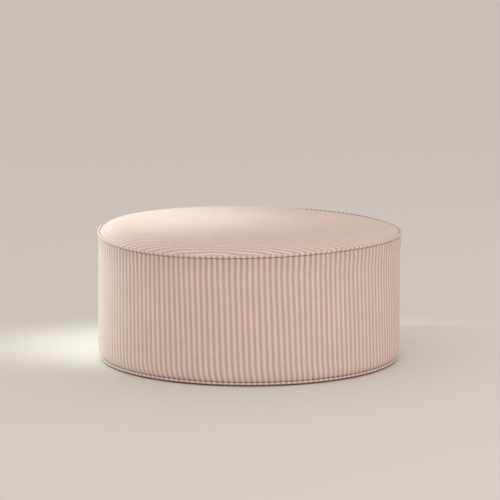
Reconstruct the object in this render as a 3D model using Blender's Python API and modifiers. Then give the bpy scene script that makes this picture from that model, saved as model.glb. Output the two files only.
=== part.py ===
"""Round ottoman: a filled drum in a sewn, piped cover.

Metres, +Z up. The origin is on the floor, under the middle of the drum.
Every piece is first turned as a true round, then settled: the top seam and the crown sink and rise a
little round the drum, as they do on a soft filled body.
"""

from math import atan2, cos, hypot, pi, radians, sin

import bpy

# Driving sizes
BAND_RADIUS = 0.4006       # side band at mid height
SEAM_HEIGHT = 0.3315       # top seam above the floor, on average
CROWN_HEIGHT = 0.3505      # middle of the filling's crown above the floor
CROWN_DOME = 0.0025        # how much lower the crown is where its shoulder starts to fall
SHOULDER_WIDTH = 0.062     # ring inside the top seam over which the crown falls to the seam
PIPING_RADIUS = 0.0037     # cord and the cloth round it
TOP_RING_RADIUS = 0.3995   # centre line of the top piping
FOOT_RING_RADIUS = 0.3932  # centre line of the bottom piping, drawn in under the band
FOOT_LIFT = 0.0022         # gap between the bottom piping and the floor
REST_RADIUS = 0.374        # flat middle of the base panel, which the drum stands on
RIM_RISE = 0.0035          # the base panel's rim curves up to the bottom piping by this much
CLOTH_THICKNESS = 0.002    # top and base panels
PANEL_INSET = 0.0012       # the top panel's underside stops this far inside the crown's edge
CLEARANCE = 0.0004         # between a panel and the filling
PIPING_CLEARANCE = 0.0005  # between a piping and its groove

# Settling of the soft body
SETTLE_FROM = 0.050        # the side below this height keeps its turned shape
SEAM_SHIFT = 0.0020        # the top seam lies this far to the right of the band
SHIFT_FROM = 0.270         # height where that shift starts

# How the top seam, and the crown at its edge, rise and fall round the drum
SEAM_WAVES = (
    # turns round the drum, cosine, sine
    (1, 0.0010, 0.0026),
    (2, 0.0009, -0.0032),
    (3, -0.0019, 0.0005),
    (4, 0.0000, -0.0009),
)
CROWN_WAVES = (
    # turns round the drum, cosine, sine
    (1, -0.0055, -0.0010),
    (2, 0.0007, -0.0069),
    (3, -0.0006, -0.0021),
    (4, 0.0018, -0.0014),
)

# Fineness
ROUND_STEPS = 72
PIPING_STEPS = 8
SHOULDER_STEPS = 6
RIM_STEPS = 2
GROOVE_STEP = radians(25)

# Stretches of a piping's round section that the filling clears, as angles from its outer side
CROWN_EDGE_ANGLE = radians(190)
TOP_GROOVE_END = radians(290)
FOOT_GROOVE_START = radians(80)
FOOT_GROOVE_END = radians(190)

# Worked out from the driving sizes
TOP_RING_HEIGHT = SEAM_HEIGHT + PIPING_CLEARANCE + PIPING_RADIUS
FOOT_RING_HEIGHT = FOOT_LIFT + PIPING_RADIUS
GROOVE_RADIUS = PIPING_RADIUS + PIPING_CLEARANCE
CROWN_EDGE_RADIUS = TOP_RING_RADIUS + GROOVE_RADIUS * cos(CROWN_EDGE_ANGLE)
CROWN_EDGE_HEIGHT = TOP_RING_HEIGHT + GROOVE_RADIUS * sin(CROWN_EDGE_ANGLE)
BASE_PANEL_RADIUS = FOOT_RING_RADIUS - GROOVE_RADIUS - CLEARANCE

# The band's side between its two grooves: share of the seam's height, and radius past BAND_RADIUS
BAND_SIDE = (
    # height share, radius offset
    (0.980, 0.0002),
    (0.930, -0.0002),
    (0.860, -0.0010),
    (0.720, -0.0008),
    (0.300, 0.0006),
    (0.170, 0.0012),
    (0.110, 0.0015),
    (0.078, 0.0010),
    (0.058, -0.0010),
    (0.043, -0.0040),
)


def clear_scene():
    for obj in list(bpy.data.objects):
        bpy.data.objects.remove(obj, do_unlink=True)


def make_collection(name):
    collection = bpy.data.collections.new(name)
    bpy.context.scene.collection.children.link(collection)
    return collection


def cloth_material(name, colour, roughness):
    material = bpy.data.materials.new(name)
    material.use_nodes = True
    shader = material.node_tree.nodes["Principled BSDF"]
    shader.inputs["Base Color"].default_value = (*colour, 1.0)
    shader.inputs["Roughness"].default_value = roughness
    shader.inputs["Metallic"].default_value = 0.0
    return material


# Shapes of the turned sections

def shoulder_fall(radius):
    """1 at the top seam, easing to 0 where the crown's shoulder starts."""
    inside = (CROWN_EDGE_RADIUS - radius) / SHOULDER_WIDTH
    return (1.0 - min(max(inside, 0.0), 1.0)) ** 3


def crown_height(radius):
    """Height of the filling's crown at a distance from the axis."""
    level = CROWN_HEIGHT - CROWN_DOME * (radius / CROWN_EDGE_RADIUS) ** 2
    drop = CROWN_HEIGHT - CROWN_DOME - CROWN_EDGE_HEIGHT
    return level - drop * shoulder_fall(radius)


def crown_section():
    """Points (radius, height) of the crown from the axis out to its edge, closing up towards the edge."""
    plateau = CROWN_EDGE_RADIUS - SHOULDER_WIDTH
    radii = [0.0, plateau / 2]
    for step in range(SHOULDER_STEPS + 1):
        radii.append(plateau + SHOULDER_WIDTH * sin(pi / 2 * step / SHOULDER_STEPS))
    return [(radius, crown_height(radius)) for radius in radii]


def base_section(above):
    """Points (radius, height) a distance above the base panel's underside, from the axis out to its edge."""
    points = [(0.0, above), (REST_RADIUS, above)]
    width = BASE_PANEL_RADIUS - REST_RADIUS
    for step in range(1, RIM_STEPS + 1):
        share = step / RIM_STEPS
        slope = atan2(2.0 * RIM_RISE * share, width)
        radius = REST_RADIUS + width * share - above * sin(slope)
        points.append((radius, RIM_RISE * share ** 2 + above * cos(slope)))
    return points


def groove(ring_radius, ring_height, start, stop):
    """Arc (radius, height) that keeps clear of a piping, from one angle of its section to another."""
    count = round(abs(stop - start) / GROOVE_STEP)
    points = []
    for step in range(count + 1):
        angle = start + (stop - start) * step / count
        radius = ring_radius + GROOVE_RADIUS * cos(angle)
        points.append((radius, ring_height + GROOVE_RADIUS * sin(angle)))
    return points


def body_section():
    """The filled body's half section, from the top of the axis down its side to the foot of the axis."""
    points = crown_section()[:-1]
    points += groove(TOP_RING_RADIUS, TOP_RING_HEIGHT, CROWN_EDGE_ANGLE, TOP_GROOVE_END)
    points += [(BAND_RADIUS + offset, SEAM_HEIGHT * share) for share, offset in BAND_SIDE]
    points += groove(FOOT_RING_RADIUS, FOOT_RING_HEIGHT, FOOT_GROOVE_START, FOOT_GROOVE_END)
    points += reversed(base_section(CLOTH_THICKNESS + CLEARANCE))
    return points


# Making and settling the pieces

def turned(name, section):
    """Object whose mesh is a section, as points (radius, height), turned about the Z axis."""
    mesh = bpy.data.meshes.new(name)
    vertices = [(radius, 0.0, height) for radius, height in section]
    edges = [(index, index + 1) for index in range(len(section) - 1)]
    mesh.from_pydata(vertices, edges, [])
    obj = bpy.data.objects.new(name, mesh)
    screw = obj.modifiers.new("Turn", "SCREW")
    screw.axis = "Z"
    screw.angle = 2.0 * pi
    screw.steps = ROUND_STEPS
    screw.render_steps = ROUND_STEPS
    screw.use_merge_vertices = True
    screw.merge_threshold = 0.0001
    screw.use_smooth_shade = True
    return obj


def bake_modifiers(obj):
    """Replace the object's mesh by its evaluated mesh."""
    depsgraph = bpy.context.evaluated_depsgraph_get()
    evaluated = obj.evaluated_get(depsgraph)
    mesh = bpy.data.meshes.new_from_object(evaluated)
    obj.modifiers.clear()
    obj.data = mesh
    mesh.name = obj.name


def wave_rise(waves, angle, reach):
    """Sum of waves round the drum. The reach is the share of the way from the axis to the seam."""
    rise = 0.0
    for turns, cosine, sine in waves:
        rise += reach ** turns * (cosine * cos(turns * angle) + sine * sin(turns * angle))
    return rise


def eased_share(height, start):
    """0 below a starting height, easing to 1 at the top seam."""
    share = min(max((height - start) / (SEAM_HEIGHT - start), 0.0), 1.0)
    return share * share * (3.0 - 2.0 * share)


def settle_rise(x, y, height):
    """How far a point of the turned body rises when the body settles."""
    radius = hypot(x, y)
    angle = atan2(y, x)
    at_seam = shoulder_fall(radius)
    seam = wave_rise(SEAM_WAVES, angle, 1.0)
    crown = wave_rise(CROWN_WAVES, angle, radius / CROWN_EDGE_RADIUS)
    return eased_share(height, SETTLE_FROM) * (at_seam * seam + (1.0 - at_seam) * crown)


def settle(obj):
    """Give the mesh the uneven height and the shifted seam of the settled body."""
    for vertex in obj.data.vertices:
        x, y, z = vertex.co
        height = z + obj.location.z
        vertex.co.x = x + SEAM_SHIFT * eased_share(height, SHIFT_FROM)
        vertex.co.z = z + settle_rise(x, y, height)


def finish(obj, collection, material, parent):
    """Put a piece in its collection, with its material and parent."""
    for owner in list(obj.users_collection):
        owner.objects.unlink(obj)
    collection.objects.link(obj)
    obj.data.materials.clear()
    obj.data.materials.append(material)
    obj.parent = parent


# The pieces

def make_side_band(collection, material, parent):
    """The drum inside its side band: one filled solid with its crown and drawn-in foot."""
    body = turned("side_band", body_section())
    finish(body, collection, material, parent)
    bake_modifiers(body)
    settle(body)


def make_top_panel(collection, material, parent):
    """The disc of cloth stretched over the crown."""
    edge = CROWN_EDGE_RADIUS - PANEL_INSET
    points = crown_section()[:-1] + [(edge, crown_height(edge))]
    section = [(radius, height + CLEARANCE) for radius, height in points]
    panel = turned("top_panel", section)
    cloth = panel.modifiers.new("Cloth", "SOLIDIFY")
    cloth.thickness = CLOTH_THICKNESS
    cloth.offset = 1.0
    finish(panel, collection, material, parent)
    bake_modifiers(panel)
    settle(panel)


def make_base_panel(collection, material, parent):
    """The disc of cloth that the drum stands on, with its rim turned up to the bottom piping."""
    panel = turned("base_panel", base_section(0.0))
    cloth = panel.modifiers.new("Cloth", "SOLIDIFY")
    cloth.thickness = CLOTH_THICKNESS
    cloth.offset = 1.0
    finish(panel, collection, material, parent)


def make_piping(name, ring_radius, ring_height, collection, material, parent):
    """A ring of corded piping in a seam."""
    bpy.ops.mesh.primitive_torus_add(
        major_segments=ROUND_STEPS, minor_segments=PIPING_STEPS,
        major_radius=ring_radius, minor_radius=PIPING_RADIUS, location=(0.0, 0.0, ring_height))
    piping = bpy.context.object
    piping.name = name
    piping.data.shade_smooth()
    finish(piping, collection, material, parent)
    settle(piping)


def main():
    clear_scene()
    collection = make_collection("ottoman")
    origin = bpy.data.objects.new("ottoman", None)
    collection.objects.link(origin)
    striped = cloth_material("striped_cotton", (0.61, 0.44, 0.37), 0.85)
    base_cloth = cloth_material("base_cotton", (0.66, 0.55, 0.46), 0.9)
    piping_cloth = cloth_material("piping_cotton", (0.66, 0.50, 0.42), 0.85)

    make_side_band(collection, striped, origin)
    make_top_panel(collection, striped, origin)
    make_base_panel(collection, base_cloth, origin)
    make_piping("top_piping", TOP_RING_RADIUS, TOP_RING_HEIGHT, collection, piping_cloth, origin)
    make_piping("bottom_piping", FOOT_RING_RADIUS, FOOT_RING_HEIGHT, collection, piping_cloth, origin)


main()
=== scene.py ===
"""Looks of a round ottoman: a filled drum in a cover of striped cotton, with piping in both seams.

The CAD pieces give the sizes. The drum is a turned mesh that swells like a stuffed cover and
settles as the CAD body does. Each cloth has flat coordinates of its own, which its woven stripes
follow. Lengths are in metres, and angles in radians.
"""

from math import cos, hypot, pi, radians, sin, sqrt

import bmesh
import bpy
import numpy as np
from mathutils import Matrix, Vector


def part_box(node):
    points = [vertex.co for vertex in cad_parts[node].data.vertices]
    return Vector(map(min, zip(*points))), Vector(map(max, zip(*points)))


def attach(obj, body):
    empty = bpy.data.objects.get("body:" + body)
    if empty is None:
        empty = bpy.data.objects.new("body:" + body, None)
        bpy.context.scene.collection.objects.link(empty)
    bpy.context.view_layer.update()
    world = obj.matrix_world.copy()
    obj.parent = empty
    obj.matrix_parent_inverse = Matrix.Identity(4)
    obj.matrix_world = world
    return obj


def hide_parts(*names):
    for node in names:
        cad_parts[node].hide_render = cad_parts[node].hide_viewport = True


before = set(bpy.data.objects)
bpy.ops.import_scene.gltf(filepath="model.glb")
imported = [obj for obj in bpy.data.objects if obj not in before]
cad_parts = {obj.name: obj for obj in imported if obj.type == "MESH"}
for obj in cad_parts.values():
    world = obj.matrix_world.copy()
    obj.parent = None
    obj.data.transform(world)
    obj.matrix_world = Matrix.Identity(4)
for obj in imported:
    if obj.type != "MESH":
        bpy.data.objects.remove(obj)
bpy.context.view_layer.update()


# Sizes of the CAD pieces

def half_width(node):
    """Radius of a round node, from its box's depth."""
    low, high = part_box(node)
    return (high.y - low.y) / 2


def middle_height(node):
    """Average height of a node's vertices."""
    heights = [vertex.co.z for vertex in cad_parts[node].data.vertices]
    return sum(heights) / len(heights)


def thickness(node):
    """Height of a node's box."""
    low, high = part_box(node)
    return high.z - low.z


def height_on_axis(node):
    """Top of a node's mesh near the Z axis."""
    near = 0.005
    points = [vertex.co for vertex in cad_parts[node].data.vertices]
    return max(point.z for point in points if hypot(point.x, point.y) < near)


# Shape of the settled drum, as the CAD source has it
FOOT_BULGE = 0.0015        # the band is widest just above its foot, by this much
CROWN_DOME = 0.0025        # fall of the crown from its middle to its edge, its shoulder left out
SHOULDER_WIDTH = 0.062     # ring inside the top seam over which the crown falls to the seam
REST_RADIUS = 0.374        # flat middle of the base cloth, which the drum stands on
RIM_RISE = 0.0035          # the base cloth's rim curves up to the bottom piping by this much
CLOTH_THICKNESS = 0.002    # top and base cloths
CLEARANCE = 0.0004         # between a cloth and the filling
PIPING_CLEARANCE = 0.0005  # between a piping and its groove
PANEL_INSET = 0.0012       # the top cloth stops this far inside the crown's edge
SETTLE_FROM = 0.050        # the side below this height keeps its turned shape
SEAM_SHIFT = 0.0020        # the top seam lies this far to the right of the band
SHIFT_FROM = 0.270         # height where that shift starts

# Ends of the grooves round the pipings. These angles go from the drum's outer side through the top.
CROWN_EDGE_ANGLE = radians(190)
TOP_GROOVE_END = radians(290)
FOOT_GROOVE_START = radians(80)
FOOT_GROOVE_END = radians(190)

# How the top seam, and the crown at its edge, rise and fall round the drum, from +X
SEAM_WAVES = (
    # turns round the drum, cosine, sine
    (1, 0.0010, 0.0026),
    (2, 0.0009, -0.0032),
    (3, -0.0019, 0.0005),
    (4, 0.0000, -0.0009),
)
CROWN_WAVES = (
    # turns round the drum, cosine, sine
    (1, -0.0055, -0.0010),
    (2, 0.0007, -0.0069),
    (3, -0.0006, -0.0021),
    (4, 0.0018, -0.0014),
)

# The band's side between its two grooves
BAND_SIDE = (
    # share of the seam's height, radius past BAND_RADIUS
    (0.980, 0.0002),
    (0.930, -0.0002),
    (0.860, -0.0010),
    (0.720, -0.0008),
    (0.300, 0.0006),
    (0.170, 0.0012),
    (0.110, FOOT_BULGE),
    (0.078, 0.0010),
    (0.058, -0.0010),
    (0.043, -0.0040),
)

# Worked out from the frame
BASE_RADIUS = half_width("base_panel")
PIPING_RADIUS = thickness("bottom_piping") / 2
FOOT_RING_RADIUS = half_width("bottom_piping") - PIPING_RADIUS
FOOT_RING_HEIGHT = middle_height("bottom_piping")
TOP_RING_RADIUS = half_width("top_piping") - PIPING_RADIUS
TOP_RING_HEIGHT = middle_height("top_piping")
BAND_RADIUS = half_width("side_band") - FOOT_BULGE
SEAM_HEIGHT = TOP_RING_HEIGHT - PIPING_RADIUS - PIPING_CLEARANCE
CROWN_HEIGHT = height_on_axis("side_band")
GROOVE_RADIUS = PIPING_RADIUS + PIPING_CLEARANCE
CROWN_EDGE_RADIUS = TOP_RING_RADIUS + GROOVE_RADIUS * cos(CROWN_EDGE_ANGLE)
CROWN_EDGE_HEIGHT = TOP_RING_HEIGHT + GROOVE_RADIUS * sin(CROWN_EDGE_ANGLE)

# Fineness of the meshes. The drum and its top cloth are subdivided once more.
GRID_CELLS = 64                 # cells along each side of the square grid in the crown's middle
AROUND = 4 * GRID_CELLS         # points in each ring outside that grid
GRID_RADIUS = 0.62 * CROWN_EDGE_RADIUS  # of that grid, bent into a disc
FIRST_ANGLE = radians(-135)     # where every ring starts, from +X: a corner of the square grid
PLATEAU_ROWS = 8
SHOULDER_ROWS = 13
GROOVE_ROWS = 5
RIM_ROWS = 6
SIDE_SPACING = 0.011
PIPING_STEPS = 720
PIPING_SIDES = 16
FLAT_STEPS = 400                # points in the table of the crown's flat radii
SAME_POINT = 0.0001             # the base cloth's points closer than this are one
SHARP_EDGE = radians(50)        # its edges bent by more than this are sharp
TINY = 1e-9                     # stands in for a length of zero below a fraction line

# Swelling of the stuffed cover. Names that start with CLOTH_ go to Blender's Cloth.
SWELL = 0.0016                  # the cover starts this far inside the CAD body
SWELL_REACH = 0.045             # distance from a seam over which the swelling builds up
SWELL_MOST = 0.004              # no point moves further than this
CLOTH_FRAMES = 20
CLOTH_QUALITY = 5
CLOTH_MASS = 0.3
CLOTH_STIFFNESS = 2.0
CLOTH_BENDING_STIFFNESS = 0.5
CLOTH_PRESSURE = 8.0
UNEVEN_FILLING = 0.6            # share of the pressure that comes and goes over the cover
FILLING_HOLD = 0.2              # how firmly the filling holds the cloth in place, where 1 is fast

# Puckers beside the seams, and broad unevenness between them
PUCKER_DEPTH = 0.0011
PUCKER_REACH = 0.016            # distance from a seam over which the band's puckers die away
CROWN_PUCKER_REACH = 2 * PUCKER_REACH
SEWN_FLAT_CROWN = 0.006         # right beside its piping the crown is sewn flat, over this distance
SEWN_FLAT_SEAM = 0.005          # and the band below the top piping
SEWN_FLAT_FOOT = 0.006          # and the band above the bottom piping
BROAD_DEPTH = 0.0012
BROAD_START = 0.010             # the crown's broad waves start this far inside its edge
BROAD_BUILD = 0.080             # and build up over this distance
BROAD_FADE = 0.040              # the band's broad waves die away over this distance from its seams
RADIUS_WEIGHT = 3.0             # the broad waves count a step outward as this many steps up
EDGE_BLEND = 0.002              # ring at the crown's edge where moving up gives way to moving out
PIPING_UNEVEN = 0.00015         # a cord's radius is out by this much at most

# Stripes and weave
STRIPES_ROUND_BAND = 170
STRIPES_ROUND_PIPING = 169
STRIPE_REPEAT = 2 * pi * BAND_RADIUS / STRIPES_ROUND_BAND
PIPING_CLOTH_RADIUS = STRIPES_ROUND_PIPING * STRIPE_REPEAT / (2 * pi)  # for whole repeats round it
FRONT_PHASE = 0.5 * STRIPE_REPEAT   # a cream stripe is at the front, where 0 would put a pink one
STRIPE_LEAN = 0.035             # the band's stripes run to the right by this share of the way down
LEFT_LEAN = -0.023              # change of that share on the left of the drum
LEFT_LEAN_ANGLE = radians(-60)  # where it is strongest, from the front to the right
LEFT_LEAN_REACH = radians(28)
FOOT_TWIST = 0.006              # they run this much further to the right where the foot is drawn in
FOOT_TWIST_HEIGHT = 0.060       # from this height down
WAVE_SHIFT = 0.0016             # the band's stripes wander by this much at most
PULL_SHIFT = 0.0030             # the top seam pulls the stripes beside it by this much at most
PULL_REACH = 0.030
TOP_STRIPE_ANGLE = radians(-13.3)   # from +X, seen from above
YARN_PITCH = 0.00074
STRIPE_EDGE = 0.6 * YARN_PITCH  # half the width over which one stripe gives way to the next
STRIPE_WANDER = 0.0006          # their edges are out by this much at most
WEFT_EDGE = 0.35                # how softly the weft comes and goes over the warp
WEFT_SHARE = 0.36               # share of the weft's colour where it lies on top
SLUB_HEIGHT = 0.8               # the yarn's unevenness, beside a yarn's own height of 1

UV_NAME = "Cloth"
PINK_YARN = (0.605, 0.360, 0.320)
CREAM_YARN = (0.740, 0.652, 0.592)
BASE_YARN = (0.66, 0.60, 0.52)
STRIPED_ROUGHNESS = 0.86
PLAIN_ROUGHNESS = 0.9

# Noises in the cotton: scale across the stripes and along them, detail and roughness
WANDER_NOISE = (60.0, 24.0, 2.0, 0.5)
SLUB_NOISE = (90.0, 900.0, 3.0, 0.6)
WARP_NOISE = (620.0, 26.0, 3.0, 0.6)
WEFT_NOISE = (26.0, 620.0, 3.0, 0.6)
PATCH_SCALE = 9.0
PATCH_DETAIL = 3.0
PATCH_ROUGHNESS = 0.55

# What the noises change: brightness, and roughness and saturation, up or down
STREAK_LOW, STREAK_HIGH = 0.6, 1.4          # usual values of the two streak noises' sum
STREAK_DARK, STREAK_LIGHT = 0.90, 1.08      # how bright the cloth is there
STREAK_ROUGHNESS = 0.05
PATCH_LOW, PATCH_HIGH = 0.3, 0.7            # usual values of the patch noise
PATCH_BRIGHTNESS = 0.03
PATCH_SATURATION = 0.04

BUMP_STRENGTH = 0.6
BUMP_DISTANCE = 0.00018
COTTON_SHEEN = {
    "Specular IOR Level": 0.25,
    "Sheen Weight": 0.12,
    "Sheen Roughness": 0.45,
    "Sheen Tint": (1.0, 0.93, 0.86, 1.0),
}

# Painted shade: the cloth's colour is darkened in the creases of the seams, where shade falls
PAINTED_SHADE_TINT = (0.42, 0.27, 0.23)    # full painted shade leaves these shares of red, green and blue
TOP_CREAM_HOLDS = 0.45          # at the top, cream yarn takes this share of the pink yarn's painted shade
FOOT_CREAM_HOLDS = 0.50         # and at the foot this one
DEEP_SHADE = 0.22               # painted shade on the band, close below the top seam
DEEP_SHADE_REACH = 0.0035
WIDE_SHADE = 0.18               # and over a wider reach
WIDE_SHADE_REACH = 0.045
FOOT_SHADE = 0.50               # painted shade on the band where its foot meets the piping
FOOT_SHADE_START = 0.0165       # from this height down
FOOT_SHADE_FULL = 0.0115        # and full from this one down
CORD_SHADE_EDGE = radians(40)   # a cord's painted shade builds up over this angle from its reach inward

# Where the crown lies flush with its piping: angle from the front to the right, how far from there
# the piping's painted shade starts to thin, and how far from there it is at its thinnest
FLUSH_ANGLE = radians(94)
FLUSH_REACH = radians(35)
FLUSH_FULL = radians(14)

# The sides of each cord darkened with painted shade. Their angles go from the drum's outer side
# through the top.
TOP_CORD_SHADES = (
    # middle, reach, most painted shade, the cream yarn's share, share left where the crown lies
    # flush
    (radians(165), radians(77), 0.95, 0.35, 0.10),
    (radians(285), radians(65), 0.42, TOP_CREAM_HOLDS, 1.0),
)
FOOT_CORD_SHADES = (
    # middle, reach, most painted shade, the cream yarn's share, share left where the crown lies
    # flush
    (radians(145), radians(100), 0.50, FOOT_CREAM_HOLDS, 1.0),
    (radians(270), radians(100), 1.0, 1.0, 1.0),
)

# Camera, in front of the drum's axis
CAMERA_DISTANCE = 7.0
CAMERA_SIDE = 0.0027            # to the right
CAMERA_HEIGHT = 1.4265
CAMERA_PITCH = radians(9.26)    # downward
CAMERA_LENS = 192.5             # mm
SENSOR_WIDTH = 36.0             # mm
FARTHEST_VIEW = 100.0           # past the floor's far edge

# Studio
FLOOR_SIZE = 60.0
FLOOR_LOOK = {
    "Base Color": (0.71, 0.675, 0.64, 1.0),
    "Roughness": 0.8,
    "Specular IOR Level": 0.2,
}
SKY_COLOUR = (1.0, 0.955, 0.90, 1.0)
SKY_STRENGTH = 0.79
LIGHT_TARGET = (0.0, 0.0, 0.2)  # the softboxes face the drum's middle
SOFTBOXES = (
    # name, place, width, watts, colour
    ("front_light", (1.6, -4.2, 0.9), 1.6, 17.6, (1.0, 0.96, 0.91)),
    ("left_light", (-2.6, -3.0, 2.0), 1.8, 9.0, (1.0, 0.83, 0.80)),
    ("right_light", (3.0, -1.6, 3.2), 2.0, 25.0, (1.0, 0.96, 0.91)),
)
BEAM_SOURCE = 0.12              # radius of a beam's lamp, which softens its shadows
BEAMS = (
    # name, place, target, cone, watts, colour
    ("window_light", (-4.2, 0.10, 3.0), (-0.55, 0.14, 0.34), radians(11), 1000.0,
     (0.80, 0.98, 0.95)),
    ("high_window_light", (-1.6, 0.9, 4.4), (-0.22, 0.17, 0.35), radians(9), 160.0,
     (0.76, 1.0, 0.97)),
)


# Turned shape

def ease(share):
    """A share held between 0 and 1 and made to start and end gently."""
    share = np.clip(share, 0.0, 1.0)
    return share * share * (3.0 - 2.0 * share)


def shoulder_fall(radius):
    """1 at the top seam, easing to 0 where the crown's shoulder starts."""
    inside = (CROWN_EDGE_RADIUS - radius) / SHOULDER_WIDTH
    return (1.0 - np.clip(inside, 0.0, 1.0)) ** 3


def crown_height(radius):
    """Height of the filling's crown at a distance from the axis."""
    level = CROWN_HEIGHT - CROWN_DOME * (radius / CROWN_EDGE_RADIUS) ** 2
    drop = CROWN_HEIGHT - CROWN_DOME - CROWN_EDGE_HEIGHT
    return level - drop * shoulder_fall(radius)


def base_section(above):
    """Points (radius, height) a distance above the base cloth's underside, over its rim."""
    share = np.linspace(0.0, 1.0, RIM_ROWS)
    width = BASE_RADIUS - REST_RADIUS
    slope = np.arctan2(2.0 * RIM_RISE * share, width)
    radii = REST_RADIUS + width * share - above * np.sin(slope)
    return np.column_stack([radii, RIM_RISE * share ** 2 + above * np.cos(slope)])


def groove(ring_radius, ring_height, start, stop):
    """Arc (radius, height) that keeps clear of a piping, between two angles of its section."""
    angles = np.linspace(start, stop, GROOVE_ROWS)
    radii = ring_radius + GROOVE_RADIUS * np.cos(angles)
    return np.column_stack([radii, ring_height + GROOVE_RADIUS * np.sin(angles)])


def smooth_line(points, spacing):
    """Points along a Catmull-Rom curve through the given points, about a spacing apart."""
    points = np.array(points)
    padded = np.vstack([2 * points[0] - points[1], points, 2 * points[-1] - points[-2]])
    line = []
    for before, start, stop, after in zip(padded, padded[1:], padded[2:], padded[3:]):
        steps = max(1, round(float(np.linalg.norm(stop - start)) / spacing))
        for step in range(steps):
            t = step / steps
            line.append(0.5 * (
                2 * start + (stop - before) * t
                + (2 * before - 5 * start + 4 * stop - after) * t ** 2
                + (3 * start - before - 3 * stop + after) * t ** 3))
    return np.array(line + [points[-1]])


def drum_section():
    """The drum's section from the crown's grid outward and down to its foot.

    Also which of its points are sewn, and how many of them there are up to the crown's edge.
    """
    shoulder_start = CROWN_EDGE_RADIUS - SHOULDER_WIDTH
    plateau = np.linspace(GRID_RADIUS, shoulder_start, PLATEAU_ROWS, endpoint=False)
    shoulder = shoulder_start + SHOULDER_WIDTH * np.sin(np.linspace(0, pi / 2, SHOULDER_ROWS))
    radii = np.concatenate([plateau, shoulder[:-1]])
    crown = np.column_stack([radii, crown_height(radii)])
    top_groove = groove(TOP_RING_RADIUS, TOP_RING_HEIGHT, CROWN_EDGE_ANGLE, TOP_GROOVE_END)
    foot_groove = groove(FOOT_RING_RADIUS, FOOT_RING_HEIGHT, FOOT_GROOVE_START, FOOT_GROOVE_END)
    side = [(BAND_RADIUS + offset, SEAM_HEIGHT * share) for share, offset in BAND_SIDE]
    band = smooth_line([top_groove[-1], *side, foot_groove[0]], SIDE_SPACING)[1:-1]
    foot = base_section(CLOTH_THICKNESS + CLEARANCE)[::-1]
    section = np.vstack([crown, top_groove, band, foot_groove, foot])
    sewn = np.concatenate([
        np.zeros(len(crown), bool), np.ones(len(top_groove), bool),
        np.zeros(len(band), bool), np.ones(len(foot_groove) + len(foot), bool)])
    return section, sewn, len(crown) + 1


def distance_from_seam(section, sewn):
    """Distance along the section from each point to the nearest sewn one."""
    steps = np.linalg.norm(np.diff(section, axis=0), axis=1)
    along = np.concatenate([[0.0], np.cumsum(steps)])
    return np.abs(along[:, None] - along[sewn][None, :]).min(axis=1)


def inset_section(section, sewn):
    """The section before it swells: drawn in along its normals, less and less towards the seams."""
    tangent = np.gradient(section, axis=0)
    tangent /= np.linalg.norm(tangent, axis=1)[:, None]
    outward = np.column_stack([-tangent[:, 1], tangent[:, 0]])
    share = ease(distance_from_seam(section, sewn) / SWELL_REACH)
    return section - SWELL * share[:, None] * outward


def ring(radius, height):
    """Points evenly spaced round the axis."""
    angles = FIRST_ANGLE + 2 * pi * np.arange(AROUND) / AROUND
    heights = np.full(AROUND, height)
    return np.column_stack([radius * np.cos(angles), radius * np.sin(angles), heights])


def grid_disc():
    """Square grid of points, bent into a disc whose rim has evenly spaced points.

    Also the grid's indices in rows, and those of its rim in order.
    """
    side = sqrt(2) * np.sin(np.linspace(-pi / 4, pi / 4, GRID_CELLS + 1))
    across, along = np.meshgrid(side, side)
    x = GRID_RADIUS * across * np.sqrt(1 - along ** 2 / 2)
    y = GRID_RADIUS * along * np.sqrt(1 - across ** 2 / 2)
    places = np.arange((GRID_CELLS + 1) ** 2).reshape(GRID_CELLS + 1, GRID_CELLS + 1)
    rim = np.concatenate([places[0, :-1], places[:-1, -1], places[-1, :0:-1], places[:0:-1, 0]])
    return x.ravel(), y.ravel(), places, rim


def quads_between(first, second):
    """Faces between two rings of indices: outer sides out if the section runs outward or down."""
    return np.column_stack([first, second, np.roll(second, -1), np.roll(first, -1)])


def skin_faces(grid_faces, loops):
    """A grid's faces, and those between each ring of indices and the next."""
    return np.vstack([grid_faces] + [quads_between(*pair) for pair in zip(loops, loops[1:])])


def wave_rise(waves, angle, reach):
    """Sum of waves round the drum. The reach is the share of the way from the axis to the seam."""
    rise = 0.0
    for turns, cosine, sine in waves:
        wave = cosine * np.cos(turns * angle) + sine * np.sin(turns * angle)
        rise = rise + reach ** turns * wave
    return rise


def seam_rise(angle):
    """How far the settled top seam is above its average height, at an angle from +X."""
    return wave_rise(SEAM_WAVES, angle, 1.0)


def eased_share(height, start):
    """0 below a starting height, easing to 1 at the top seam."""
    return ease((height - start) / (SEAM_HEIGHT - start))


def settle(points):
    """Give points of the turned drum the uneven height of the settled body."""
    x, y, z = points.T
    radius = np.hypot(x, y)
    angle = np.arctan2(y, x)
    at_seam = shoulder_fall(radius)
    crown = wave_rise(CROWN_WAVES, angle, radius / CROWN_EDGE_RADIUS)
    rise = at_seam * seam_rise(angle) + (1.0 - at_seam) * crown
    return np.column_stack([x, y, z + eased_share(z, SETTLE_FROM) * rise])


def shift_seam(obj):
    """Move the top of a settled piece to the right, as the CAD body's seam is."""
    points = points_of(obj.data)
    points[:, 0] += SEAM_SHIFT * eased_share(points[:, 2], SHIFT_FROM)
    set_points(obj.data, points)


# Meshes

def mesh_object(name, points, faces):
    mesh = bpy.data.meshes.new(name)
    mesh.from_pydata(points.tolist(), [], faces.tolist())
    mesh.shade_smooth()
    obj = bpy.data.objects.new(name, mesh)
    bpy.context.scene.collection.objects.link(obj)
    return obj


def vertex_vectors(mesh, name):
    """One vector of every vertex, by its name in Blender."""
    vectors = np.empty(3 * len(mesh.vertices), np.float32)
    mesh.vertices.foreach_get(name, vectors)
    return vectors.reshape(-1, 3).astype(float)


def points_of(mesh):
    return vertex_vectors(mesh, "co")


def set_points(mesh, points):
    mesh.vertices.foreach_set("co", points.astype(np.float32).ravel())
    mesh.update()


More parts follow.
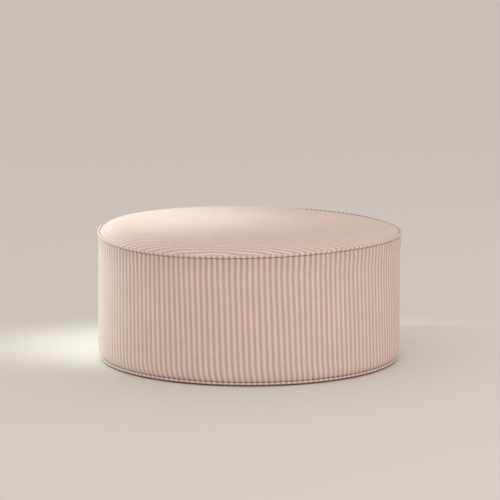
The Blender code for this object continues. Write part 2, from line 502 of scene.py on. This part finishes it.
def apply_modifiers(obj):
    """Replace the object's mesh by its evaluated mesh."""
    depsgraph = bpy.context.evaluated_depsgraph_get()
    mesh = bpy.data.meshes.new_from_object(obj.evaluated_get(depsgraph))
    obj.modifiers.clear()
    obj.data = mesh


def subdivide(obj):
    modifier = obj.modifiers.new("Subdivision", "SUBSURF")
    modifier.levels = 1
    apply_modifiers(obj)


# Waves that ruffle the cloth

class Waves:
    """A sum of sine waves round the drum and down it, between -1 and 1."""

    def __init__(self, seed, count, least_turns, most_turns, most_rate):
        rng = np.random.default_rng(seed)
        self.turns = rng.integers(least_turns, most_turns + 1, count)
        self.rate = rng.uniform(-most_rate, most_rate, count)
        self.phase = rng.uniform(0.0, 2 * pi, count)
        share = rng.uniform(0.5, 1.0, count)
        self.share = share / share.sum()

    def at(self, angle, along):
        total = np.zeros_like(angle)
        for turns, rate, phase, share in zip(self.turns, self.rate, self.phase, self.share):
            total += share * np.sin(turns * angle + rate * along + phase)
        return total


SEAM_PUCKERS = Waves(seed=11, count=9, least_turns=38, most_turns=96, most_rate=40.0)
FOOT_PUCKERS = Waves(seed=12, count=9, least_turns=38, most_turns=96, most_rate=40.0)
BROAD_WAVES = Waves(seed=13, count=10, least_turns=3, most_turns=16, most_rate=14.0)
STRIPE_WAVES = Waves(seed=14, count=10, least_turns=4, most_turns=22, most_rate=26.0)
SEAM_PULL = Waves(seed=15, count=9, least_turns=9, most_turns=34, most_rate=20.0)
TOP_PULL = Waves(seed=16, count=9, least_turns=9, most_turns=34, most_rate=20.0)
PIPING_WANDER = Waves(seed=17, count=9, least_turns=5, most_turns=60, most_rate=1.0)


def fade(distance, reach):
    """1 at a seam, dying away over the reach."""
    return np.exp(-(np.maximum(distance, 0.0) / reach) ** 2)


def ruffle(points):
    """Pucker points of the drum or its top cloth beside the seams, and make them uneven between.

    The crown's points move up or down, and the band's move out or in.
    """
    x, y, z = points.T
    radius = np.hypot(x, y)
    angle = np.arctan2(y, x)
    inward = CROWN_EDGE_RADIUS - radius
    crown = np.clip(inward / EDGE_BLEND, 0.0, 1.0) * (z > SEAM_HEIGHT / 2)
    near_edge = (1.0 - fade(inward, SEWN_FLAT_CROWN)) * fade(inward, CROWN_PUCKER_REACH)
    broad = np.clip((inward - BROAD_START) / BROAD_BUILD, 0.0, 1.0) * (radius / BAND_RADIUS) ** 2
    lift = PUCKER_DEPTH * near_edge * SEAM_PUCKERS.at(angle, radius)
    lift += BROAD_DEPTH * broad * BROAD_WAVES.at(angle, RADIUS_WEIGHT * radius)

    below_seam = SEAM_HEIGHT + seam_rise(angle) - z
    above_foot = z - FOOT_RING_HEIGHT - GROOVE_RADIUS
    near_top = (1.0 - fade(below_seam, SEWN_FLAT_SEAM)) * fade(below_seam, PUCKER_REACH)
    near_foot = (1.0 - fade(above_foot, SEWN_FLAT_FOOT)) * fade(above_foot, PUCKER_REACH)
    between = (1.0 - fade(below_seam, BROAD_FADE)) * (1.0 - fade(above_foot, BROAD_FADE))
    push = PUCKER_DEPTH * near_top * SEAM_PUCKERS.at(angle, z)
    push += PUCKER_DEPTH * near_foot * FOOT_PUCKERS.at(angle, z)
    push += BROAD_DEPTH * between * BROAD_WAVES.at(angle, z)
    scale = 1.0 + push * (1.0 - crown) / np.maximum(radius, TINY)
    return np.column_stack([x * scale, y * scale, z + lift * crown])


# The swollen cover

def weight_group(obj, name, weights):
    group = obj.vertex_groups.new(name=name)
    for index, weight in enumerate(weights):
        group.add([index], float(weight), "REPLACE")
    return group.name


def swell(obj, sewn_points):
    """Blow the cover up with Cloth: fast in its seams, held and unevenly pressed by its filling."""
    start = points_of(obj.data)
    x, y, z = start.T
    hold = np.full(len(start), FILLING_HOLD)
    hold[sewn_points] = 1.0
    wave = BROAD_WAVES.at(np.arctan2(y, x), RADIUS_WEIGHT * np.hypot(x, y) + z)
    press = np.clip(1.0 - UNEVEN_FILLING * (0.5 - wave), 0.0, 1.0)
    cloth = obj.modifiers.new("Cloth", "CLOTH")
    settings = cloth.settings
    settings.quality = CLOTH_QUALITY
    settings.mass = CLOTH_MASS
    settings.tension_stiffness = CLOTH_STIFFNESS
    settings.compression_stiffness = CLOTH_STIFFNESS
    settings.shear_stiffness = CLOTH_STIFFNESS
    settings.bending_stiffness = CLOTH_BENDING_STIFFNESS
    settings.use_pressure = True
    settings.uniform_pressure_force = CLOTH_PRESSURE
    settings.effector_weights.gravity = 0.0
    settings.vertex_group_mass = weight_group(obj, "hold", hold)
    settings.vertex_group_pressure = weight_group(obj, "press", press)
    cloth.point_cache.frame_start = 1
    cloth.point_cache.frame_end = CLOTH_FRAMES
    for frame_number in range(1, CLOTH_FRAMES + 1):
        bpy.context.scene.frame_set(frame_number)
    apply_modifiers(obj)
    obj.vertex_groups.clear()
    bpy.context.scene.frame_set(1)
    move = points_of(obj.data) - start
    length = np.linalg.norm(move, axis=1)
    share = SWELL_MOST * np.tanh(length / SWELL_MOST) / np.maximum(length, TINY)
    set_points(obj.data, start + move * share[:, None])


def drum_points(x, y, section, sink):
    """Points of the settled drum: its grid's, sunk by a depth, and those of its section's rings."""
    grid = np.column_stack([x, y, crown_height(np.hypot(x, y)) - sink])
    rings = [ring(*row) for row in section[1:]]
    return settle(np.vstack([grid, *rings]))


def make_drum():
    """The cover's crown and band as one skin, open under the foot.

    Also the faces of the crown's grid, and the indices of the crown's rings.
    """
    section, sewn, crown_rows = drum_section()
    x, y, places, rim = grid_disc()
    grid_faces = np.column_stack([
        places[:-1, :-1].ravel(), places[:-1, 1:].ravel(),
        places[1:, 1:].ravel(), places[1:, :-1].ravel()])
    rings = len(x) + np.arange((len(section) - 1) * AROUND).reshape(-1, AROUND)
    loops = [rim, *rings]
    faces = skin_faces(grid_faces, loops)
    inset = inset_section(section, sewn)
    drum = mesh_object("filled_drum", drum_points(x, y, inset, SWELL), faces)
    swell(drum, np.concatenate([loop for loop, fast in zip(loops, sewn) if fast]))
    return drum, grid_faces, loops[:crown_rows]


def close_foot(obj):
    """Close the hole under the foot with one flat face."""
    mesh = bmesh.new()
    mesh.from_mesh(obj.data)
    edges = [edge for edge in mesh.edges if edge.is_boundary]
    bmesh.ops.edgeloop_fill(mesh, edges=edges)
    bmesh.ops.recalc_face_normals(mesh, faces=mesh.faces)
    mesh.to_mesh(obj.data)
    mesh.free()


def make_top_cloth(drum, grid_faces, crown_loops):
    """The disc of striped cloth over the crown: a closed sheet that follows the swollen crown."""
    inner, edge = crown_loops[-2:]
    count = int(edge[0]) + AROUND
    crown = points_of(drum.data)[:count]
    normals = vertex_vectors(drum.data, "normal")[:count]
    slope = crown[edge] - crown[inner]
    slope /= np.linalg.norm(slope, axis=1)[:, None]
    around = np.roll(crown[edge], -1, axis=0) - np.roll(crown[edge], 1, axis=0)
    normals[edge] = np.cross(slope, around)
    normals /= np.linalg.norm(normals, axis=1)[:, None]
    crown[edge] -= PANEL_INSET * slope
    under = crown + CLEARANCE * normals
    over = crown + (CLEARANCE + CLOTH_THICKNESS) * normals
    faces = skin_faces(grid_faces, crown_loops)
    rim_faces = quads_between(edge, edge + count)
    every = np.vstack([faces, faces[:, ::-1] + count, rim_faces])
    return mesh_object("top_cloth", np.vstack([over, under]), every)


def make_base_cloth():
    """The disc of plain cloth that the drum stands on, its rim turned up to the bottom piping."""
    mesh = bpy.data.meshes.new("base_cloth")
    section = [(0.0, 0.0), *base_section(0.0)]
    vertices = [(radius, 0.0, height) for radius, height in section]
    mesh.from_pydata(vertices, [(index, index + 1) for index in range(len(section) - 1)], [])
    cloth = bpy.data.objects.new("base_cloth", mesh)
    bpy.context.scene.collection.objects.link(cloth)
    turn = cloth.modifiers.new("Turn", "SCREW")
    turn.axis = "Z"
    turn.angle = 2.0 * pi
    turn.steps = AROUND
    turn.use_merge_vertices = True
    turn.merge_threshold = SAME_POINT
    sheet = cloth.modifiers.new("Sheet", "SOLIDIFY")
    sheet.thickness = CLOTH_THICKNESS
    sheet.offset = 1.0
    apply_modifiers(cloth)
    cloth.data.shade_smooth()
    cloth.data.set_sharp_from_angle(angle=SHARP_EDGE)
    return cloth


def make_piping(name, ring_radius, ring_height, settled):
    """A ring of cord wrapped in the striped cloth."""
    along = 2 * pi * np.arange(PIPING_STEPS) / PIPING_STEPS + FIRST_ANGLE
    section = 2 * pi * np.arange(PIPING_SIDES) / PIPING_SIDES
    angle, turn = np.meshgrid(along, section, indexing="ij")
    thick = PIPING_RADIUS + PIPING_UNEVEN * PIPING_WANDER.at(angle, ring_height)
    radius = ring_radius + thick * np.cos(turn)
    height = ring_height + thick * np.sin(turn)
    if settled:
        height = height + seam_rise(angle)
    points = np.column_stack([
        (radius * np.cos(angle)).ravel(), (radius * np.sin(angle)).ravel(), height.ravel()])
    places = np.arange(PIPING_STEPS * PIPING_SIDES).reshape(PIPING_STEPS, PIPING_SIDES)
    ahead = np.roll(places, -1, axis=0)
    faces = np.column_stack([
        places.ravel(), ahead.ravel(),
        np.roll(ahead, -1, axis=1).ravel(), np.roll(places, -1, axis=1).ravel()])
    return mesh_object(name, points, faces)


# Cloth coordinates

def corner_points(mesh):
    """The point at every face corner."""
    vertex = np.empty(len(mesh.loops), np.int32)
    mesh.loops.foreach_get("vertex_index", vertex)
    return points_of(mesh)[vertex]


def corner_angles(mesh, points):
    """Angle round the drum at each face corner, from the front to the right, cut at the back."""
    sides = np.empty(len(mesh.polygons), np.int32)
    mesh.polygons.foreach_get("loop_total", sides)
    face = np.repeat(np.arange(len(sides)), sides)
    centre = np.zeros((len(sides), 2))
    np.add.at(centre, face, points[:, :2])
    middle = np.arctan2(centre[:, 0], -centre[:, 1])[face]
    own = np.arctan2(points[:, 0], -points[:, 1])
    return middle + (own - middle + pi) % (2 * pi) - pi


def set_uv(mesh, u, v):
    layer = mesh.uv_layers.new(name=UV_NAME)
    layer.data.foreach_set("uv", np.column_stack([u, v]).astype(np.float32).ravel())


def lay_band_cloth(mesh):
    """Cloth coordinates of the drum: round it and up it. The stripes lean, and turn at the foot."""
    points = corner_points(mesh)
    angle = corner_angles(mesh, points)
    from_x = angle - pi / 2
    height = points[:, 2] - eased_share(points[:, 2], SETTLE_FROM) * seam_rise(from_x)
    down = SEAM_HEIGHT - height
    foot = np.clip(1.0 - height / FOOT_TWIST_HEIGHT, 0.0, 1.0)
    lean = STRIPE_LEAN + LEFT_LEAN * np.exp(-((angle - LEFT_LEAN_ANGLE) / LEFT_LEAN_REACH) ** 2)
    shift = lean * down + FOOT_TWIST * foot ** 2
    shift += WAVE_SHIFT * STRIPE_WAVES.at(from_x, height)
    shift += PULL_SHIFT * fade(down, PULL_REACH) * SEAM_PULL.at(from_x, height)
    set_uv(mesh, angle * BAND_RADIUS - shift + FRONT_PHASE, height)


def flat_radius_table():
    """Radii on the crown and how far each is from the middle along the cloth."""
    radii = np.linspace(0.0, CROWN_EDGE_RADIUS, FLAT_STEPS)
    steps = np.hypot(np.diff(radii), np.diff(crown_height(radii)))
    return radii, np.concatenate([[0.0], np.cumsum(steps)])


def lay_top_cloth(mesh):
    """Cloth coordinates of the top: a flat disc, with its stripes across the first coordinate."""
    x, y, _ = corner_points(mesh).T
    radius = np.hypot(x, y)
    angle = np.arctan2(y, x)
    flat = np.interp(radius, *flat_radius_table())
    pull = PULL_SHIFT * fade(CROWN_EDGE_RADIUS - radius, PULL_REACH) * TOP_PULL.at(angle, radius)
    radius = np.maximum(radius, TINY)
    stretch = flat / radius * (1.0 + pull / radius)
    c, s = cos(TOP_STRIPE_ANGLE), sin(TOP_STRIPE_ANGLE)
    set_uv(mesh, stretch * (y * c - x * s), stretch * (x * c + y * s))


def lay_plain_cloth(mesh):
    """Cloth coordinates of the base, which is all but flat."""
    x, y, _ = corner_points(mesh).T
    set_uv(mesh, x, y)


def lay_piping_cloth(mesh, ring_radius, ring_height, settled):
    """Cloth coordinates of a piping: along the ring, and round the cord, cut on its inner side."""
    points = corner_points(mesh)
    angle = corner_angles(mesh, points)
    rise = seam_rise(angle - pi / 2) if settled else 0.0
    radius = np.hypot(points[:, 0], points[:, 1])
    turn = np.arctan2(points[:, 2] - ring_height - rise, radius - ring_radius)
    by_face = turn.reshape(-1, 4)
    over_cut = by_face.max(axis=1) - by_face.min(axis=1) > pi
    by_face[over_cut] = by_face[over_cut] % (2 * pi)
    set_uv(mesh, angle * PIPING_CLOTH_RADIUS + FRONT_PHASE, by_face.ravel() * PIPING_RADIUS)


# Materials

class Shader:
    """Shorthands for building a node material."""

    def __init__(self, name):
        self.material = bpy.data.materials.new(name)
        self.material.use_nodes = True
        self.tree = self.material.node_tree
        self.principled = self.tree.nodes["Principled BSDF"]

    def set_constants(self, values):
        """Set sockets of the shader that are the same all over the surface."""
        for name, value in values.items():
            self.principled.inputs[name].default_value = value

    def node(self, kind, **settings):
        made = self.tree.nodes.new(kind)
        for key, value in settings.items():
            setattr(made, key, value)
        return made

    def link(self, value, socket):
        """Put a number or colour in a socket, or link an output to it."""
        if isinstance(value, bpy.types.NodeSocket):
            self.tree.links.new(value, socket)
        else:
            socket.default_value = value

    def math(self, operation, first, second=0.0):
        made = self.node("ShaderNodeMath", operation=operation)
        self.link(first, made.inputs[0])
        self.link(second, made.inputs[1])
        return made.outputs[0]

    def mix(self, share, first, second, blend="MIX"):
        made = self.node("ShaderNodeMix", data_type="RGBA", blend_type=blend, clamp_factor=True)
        self.link(share, made.inputs[0])
        self.link(first, made.inputs[6])
        self.link(second, made.inputs[7])
        return made.outputs[2]

    def remap(self, value, from_low, from_high, to_low, to_high, smooth=False):
        kind = "SMOOTHSTEP" if smooth else "LINEAR"
        made = self.node("ShaderNodeMapRange", interpolation_type=kind)
        for index, item in enumerate((value, from_low, from_high, to_low, to_high)):
            self.link(item, made.inputs[index])
        return made.outputs[0]

    def noise(self, place, scale, detail, roughness):
        made = self.node("ShaderNodeTexNoise")
        self.link(place, made.inputs["Vector"])
        made.inputs["Scale"].default_value = scale
        made.inputs["Detail"].default_value = detail
        made.inputs["Roughness"].default_value = roughness
        return made.outputs["Fac"]

    def stretched_noise(self, place, across, along, detail, roughness):
        made = self.node("ShaderNodeMapping")
        self.link(place, made.inputs["Vector"])
        made.inputs["Scale"].default_value = (across, along, 1.0)
        return self.noise(made.outputs["Vector"], 1.0, detail, roughness)


def woven(shader, u, v, place):
    """Plain weave: how far the weft lies over the warp, and the height of the yarns."""
    warp = shader.math("SINE", shader.math("MULTIPLY", u, pi / YARN_PITCH))
    weft = shader.math("SINE", shader.math("MULTIPLY", v, pi / YARN_PITCH))
    over = shader.math("MULTIPLY", warp, weft)
    weft_on_top = shader.remap(over, -WEFT_EDGE, WEFT_EDGE, 0.0, 1.0, smooth=True)
    slubs = shader.stretched_noise(place, *SLUB_NOISE)
    height = shader.math("ADD", shader.math("ABSOLUTE", over),
                         shader.math("MULTIPLY", slubs, SLUB_HEIGHT))
    return weft_on_top, height


def less_on_cream(shader, shade, cream_share, cream_holds):
    """Painted shade that the cream yarn shows only a share of."""
    holds = shader.remap(cream_share, 0.0, 1.0, 1.0, cream_holds)
    return shader.math("MULTIPLY", shade, holds)


def band_painted_shade(shader, _, v, cream_share):
    """How much painted shade darkens the side band: below the top seam, close and wide, and at the
    foot.
    """
    deep = shader.remap(v, SEAM_HEIGHT - DEEP_SHADE_REACH, SEAM_HEIGHT,
                        0.0, DEEP_SHADE, smooth=True)
    wide = shader.remap(v, SEAM_HEIGHT - WIDE_SHADE_REACH, SEAM_HEIGHT,
                        0.0, WIDE_SHADE, smooth=True)
    seam = less_on_cream(shader, shader.math("ADD", deep, wide), cream_share, TOP_CREAM_HOLDS)
    foot = shader.remap(v, FOOT_SHADE_START, FOOT_SHADE_FULL, 0.0, FOOT_SHADE, smooth=True)
    return shader.math("ADD", seam, less_on_cream(shader, foot, cream_share, FOOT_CREAM_HOLDS))


def cord_painted_shade(shades):
    """How much painted shade darkens a piping: each shaded side of its cord, thinned where the
    crown lies flush.
    """
    def crease_painted_shade(shader, u, v, cream_share):
        turn = shader.math("DIVIDE", v, PIPING_RADIUS)
        along = shader.math("SUBTRACT", u, FRONT_PHASE)
        angle = shader.math("DIVIDE", along, PIPING_CLOTH_RADIUS)
        from_flush = shader.math("COSINE", shader.math("SUBTRACT", angle, FLUSH_ANGLE))
        total = 0.0
        for middle, reach, most, cream_holds, at_flush in shades:
            from_middle = shader.math("COSINE", shader.math("SUBTRACT", turn, middle))
            start, full = cos(reach), cos(reach - CORD_SHADE_EDGE)
            shade = shader.remap(from_middle, start, full, 0.0, most, smooth=True)
            if at_flush < 1.0:
                left = shader.remap(from_flush, cos(FLUSH_REACH), cos(FLUSH_FULL),
                                    1.0, at_flush, smooth=True)
                shade = shader.math("MULTIPLY", shade, left)
            shade = less_on_cream(shader, shade, cream_share, cream_holds)
            total = shader.math("MAXIMUM", total, shade)
        return total
    return crease_painted_shade


def stripes(shader, u, uv, colours):
    """Colour of the striped warp, one stripe of each colour to a repeat, and the second's share."""
    wander = shader.stretched_noise(uv, *WANDER_NOISE)
    wander = shader.remap(wander, 0.0, 1.0, -STRIPE_WANDER, STRIPE_WANDER)
    in_repeat = shader.math("PINGPONG", shader.math("ADD", u, wander), STRIPE_REPEAT / 2)
    middle = STRIPE_REPEAT / 4
    share = shader.remap(in_repeat, middle - STRIPE_EDGE, middle + STRIPE_EDGE,
                         0.0, 1.0, smooth=True)
    return shader.mix(share, *[(*colour, 1.0) for colour in colours]), share


def cotton(name, warp_colours, weft_colour, roughness, crease_painted_shade=None):
    """Woven cotton, striped if it has two warp colours. Only striped cotton may have painted crease
    shade.
    """
    shader = Shader(name)
    uv = shader.node("ShaderNodeUVMap", uv_map=UV_NAME).outputs["UV"]
    parts = shader.node("ShaderNodeSeparateXYZ")
    shader.link(uv, parts.inputs[0])
    u, v = parts.outputs[0], parts.outputs[1]
    weft_on_top, height = woven(shader, u, v, uv)

    if len(warp_colours) == 2:
        warp, cream_share = stripes(shader, u, uv, warp_colours)
    else:
        warp = (*warp_colours[0], 1.0)
    weft_share = shader.math("MULTIPLY", weft_on_top, WEFT_SHARE)
    cloth = shader.mix(weft_share, warp, (*weft_colour, 1.0))

    warp_streaks = shader.stretched_noise(uv, *WARP_NOISE)
    weft_streaks = shader.stretched_noise(uv, *WEFT_NOISE)
    streaks = shader.math("ADD", warp_streaks, weft_streaks)
    patches = shader.noise(uv, PATCH_SCALE, PATCH_DETAIL, PATCH_ROUGHNESS)
    brightness = shader.math(
        "ADD",
        shader.remap(streaks, STREAK_LOW, STREAK_HIGH, STREAK_DARK, STREAK_LIGHT),
        shader.remap(patches, PATCH_LOW, PATCH_HIGH, -PATCH_BRIGHTNESS, PATCH_BRIGHTNESS))
    saturation = shader.remap(patches, PATCH_LOW, PATCH_HIGH,
                              1.0 - PATCH_SATURATION, 1.0 + PATCH_SATURATION)
    tone = shader.node("ShaderNodeHueSaturation")
    shader.link(brightness, tone.inputs["Value"])
    shader.link(saturation, tone.inputs["Saturation"])
    shader.link(cloth, tone.inputs["Color"])
    colour = tone.outputs[0]
    # painted shade: the colour is darkened towards the crease tint in the seams' creases
    if crease_painted_shade:
        shade = crease_painted_shade(shader, u, v, cream_share)
        colour = shader.mix(shade, colour, (*PAINTED_SHADE_TINT, 1.0), blend="MULTIPLY")
    shader.link(colour, shader.principled.inputs["Base Color"])

    rough = shader.remap(streaks, STREAK_LOW, STREAK_HIGH,
                         roughness - STREAK_ROUGHNESS, roughness + STREAK_ROUGHNESS)
    shader.link(rough, shader.principled.inputs["Roughness"])
    bump = shader.node("ShaderNodeBump")
    bump.inputs["Strength"].default_value = BUMP_STRENGTH
    bump.inputs["Distance"].default_value = BUMP_DISTANCE
    shader.link(height, bump.inputs["Height"])
    shader.link(bump.outputs[0], shader.principled.inputs["Normal"])
    shader.set_constants(COTTON_SHEEN)
    return shader.material


# The object

def dress(piece, node, material):
    """Put a piece in a CAD node's place, with its material, and hide that node."""
    piece.data.materials.append(material)
    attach(piece, "root")
    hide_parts(node)


def make_ottoman():
    ticking = ((PINK_YARN, CREAM_YARN), CREAM_YARN, STRIPED_ROUGHNESS)
    striped = cotton("top_cotton", *ticking)
    # the band and the pipings get painted shade in the creases of their seams
    band = cotton("band_cotton", *ticking, band_painted_shade)
    plain = cotton("plain_cotton", (BASE_YARN,), BASE_YARN, PLAIN_ROUGHNESS)

    drum, grid_faces, crown_loops = make_drum()
    top = make_top_cloth(drum, grid_faces, crown_loops)
    for piece in (drum, top):
        subdivide(piece)
        set_points(piece.data, ruffle(points_of(piece.data)))
    close_foot(drum)
    drum.data.shade_smooth()
    lay_band_cloth(drum.data)
    lay_top_cloth(top.data)
    for piece in (drum, top):
        shift_seam(piece)
    dress(drum, "side_band", band)
    dress(top, "top_panel", striped)

    base = make_base_cloth()
    lay_plain_cloth(base.data)
    dress(base, "base_panel", plain)

    for node, radius, height, settled, shaded in (
            ("top_piping", TOP_RING_RADIUS, TOP_RING_HEIGHT, True, TOP_CORD_SHADES),
            ("bottom_piping", FOOT_RING_RADIUS, FOOT_RING_HEIGHT, False, FOOT_CORD_SHADES)):
        piping = make_piping(node + "_ring", radius, height, settled)
        lay_piping_cloth(piping.data, radius, height, settled)
        shift_seam(piping)
        dress(piping, node, cotton(node + "_cotton", *ticking, cord_painted_shade(shaded)))


# The studio

def make_floor():
    bpy.ops.mesh.primitive_plane_add(size=FLOOR_SIZE, location=(0.0, 0.0, 0.0))
    floor = bpy.context.object
    floor.name = "floor"
    shader = Shader("pale_floor")
    shader.set_constants(FLOOR_LOOK)
    floor.data.materials.append(shader.material)


def place_light(name, light, place, target):
    obj = bpy.data.objects.new(name, light)
    obj.location = place
    direction = Vector(target) - Vector(place)
    obj.rotation_euler = direction.to_track_quat("-Z", "Y").to_euler()
    obj.visible_camera = False
    bpy.context.scene.collection.objects.link(obj)


def make_softbox(name, place, width, watts, colour):
    light = bpy.data.lights.new(name, "AREA")
    light.shape = "DISK"
    light.size = width
    light.energy = watts
    light.color = colour
    place_light(name, light, place, LIGHT_TARGET)


def make_beam(name, place, target, cone, watts, colour):
    """A spot light with a soft edge."""
    light = bpy.data.lights.new(name, "SPOT")
    light.spot_size = cone
    light.spot_blend = 1.0
    light.shadow_soft_size = BEAM_SOURCE
    light.energy = watts
    light.color = colour
    place_light(name, light, place, target)


def light_studio():
    world = bpy.data.worlds.new("studio")
    world.use_nodes = True
    background = world.node_tree.nodes["Background"]
    background.inputs["Color"].default_value = SKY_COLOUR
    background.inputs["Strength"].default_value = SKY_STRENGTH
    bpy.context.scene.world = world
    for softbox in SOFTBOXES:
        make_softbox(*softbox)
    for beam in BEAMS:
        make_beam(*beam)


def make_camera():
    camera = bpy.data.cameras.new("camera")
    camera.lens = CAMERA_LENS
    camera.sensor_width = SENSOR_WIDTH
    camera.clip_end = FARTHEST_VIEW
    obj = bpy.data.objects.new("camera", camera)
    obj.location = (CAMERA_SIDE, -CAMERA_DISTANCE, CAMERA_HEIGHT)
    obj.rotation_euler = (pi / 2 - CAMERA_PITCH, 0.0, 0.0)
    bpy.context.scene.collection.objects.link(obj)
    bpy.context.scene.camera = obj


make_camera()
make_ottoman()
make_floor()
light_studio()
bpy.context.scene.view_settings.view_transform = "Standard"
